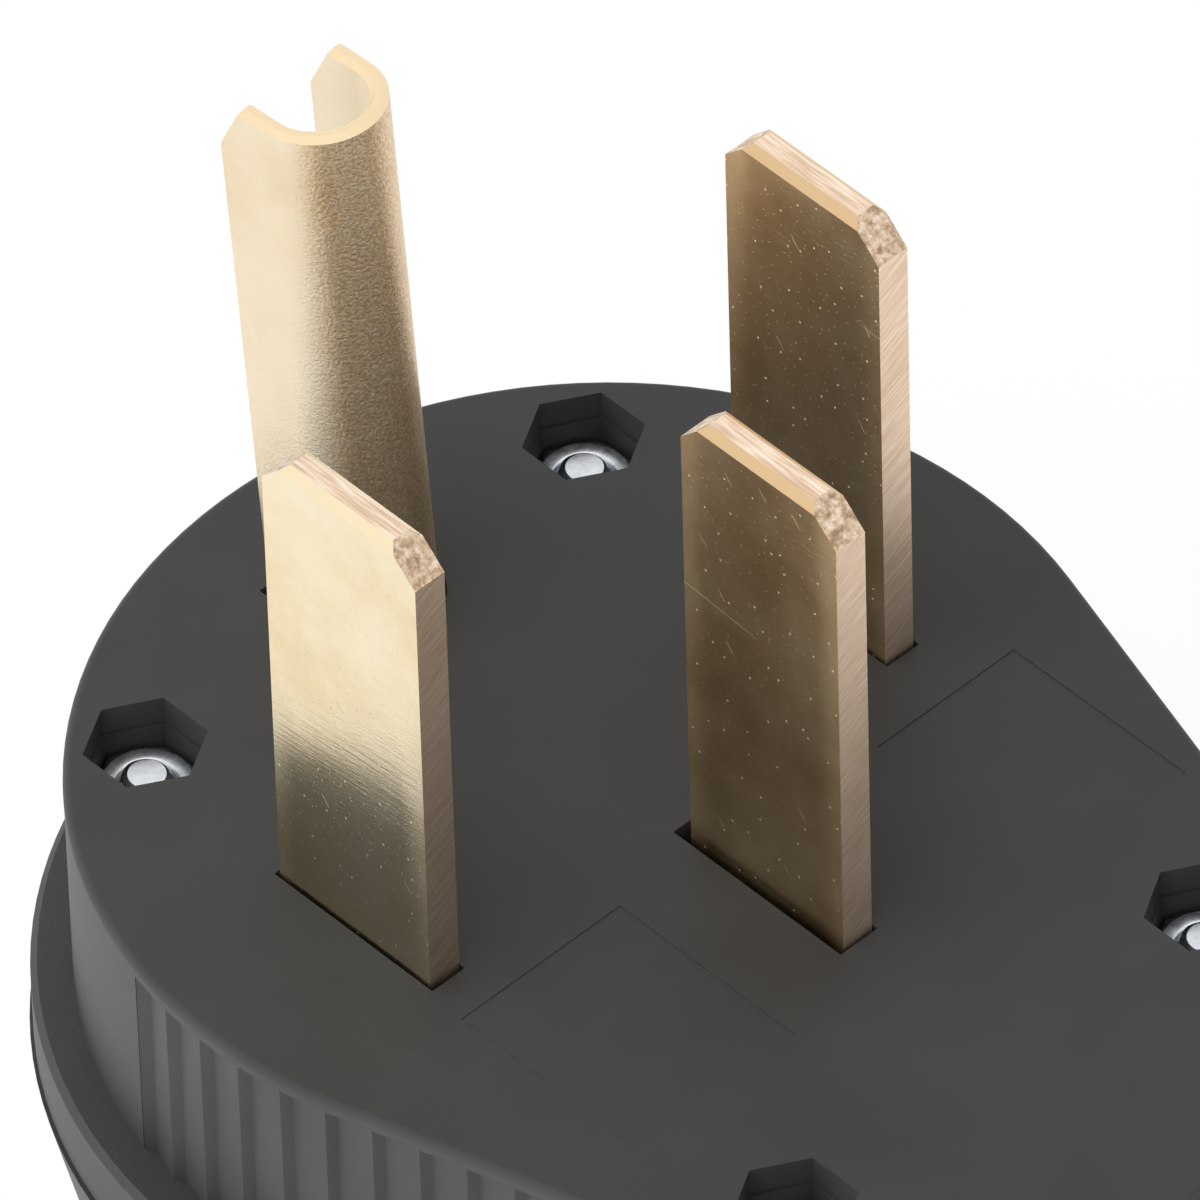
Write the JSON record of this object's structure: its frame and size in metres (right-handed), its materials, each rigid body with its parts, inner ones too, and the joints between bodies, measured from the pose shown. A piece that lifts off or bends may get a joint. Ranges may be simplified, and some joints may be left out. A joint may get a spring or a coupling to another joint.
{
  "type": "right-angle power plug",
  "caption": "Black right-angle four-pole power plug with flat brass blades, a folded U ground pin, ribbed round head and screws ending in hexagon nuts in the face.",
  "frame": {"origin": "centre of the round head on the contact face, midway between the two hot blades", "axes": "+X to the cord end, +Y to the right hot blade, +Z along the blades away from the face"},
  "size_m": [0.0875, 0.065, 0.0726],
  "materials": {
    "black_nylon": "fine moulded texture",
    "brass": "rolled, lightly scratched",
    "zinc_steel": "bright zinc plate",
    "grey_insulator": "plain moulded",
    "black_rubber": "dull"
  },
  "bodies": {
    "root": {"front_housing": "black_nylon", "rear_cover": "black_nylon", "hot_blade_left": "brass", "hot_blade_right": "brass", "neutral_blade": "brass", "ground_pin": "brass", "blade_retainer": "grey_insulator", "cover_screws": "zinc_steel", "cover_nuts": "zinc_steel", "retainer_screws": "zinc_steel", "cord_clamp_screws": "zinc_steel", "cord_clamp_strap": "zinc_steel", "hot_left_pressure_plate": "zinc_steel", "hot_right_pressure_plate": "zinc_steel", "neutral_pressure_plate": "zinc_steel", "ground_pressure_plate": "zinc_steel", "hot_left_terminal_screw": "zinc_steel", "hot_right_terminal_screw": "zinc_steel", "neutral_terminal_screw": "zinc_steel", "ground_terminal_screw": "zinc_steel", "cord_bushing": "black_rubber"}
  },
  "joints": []
}
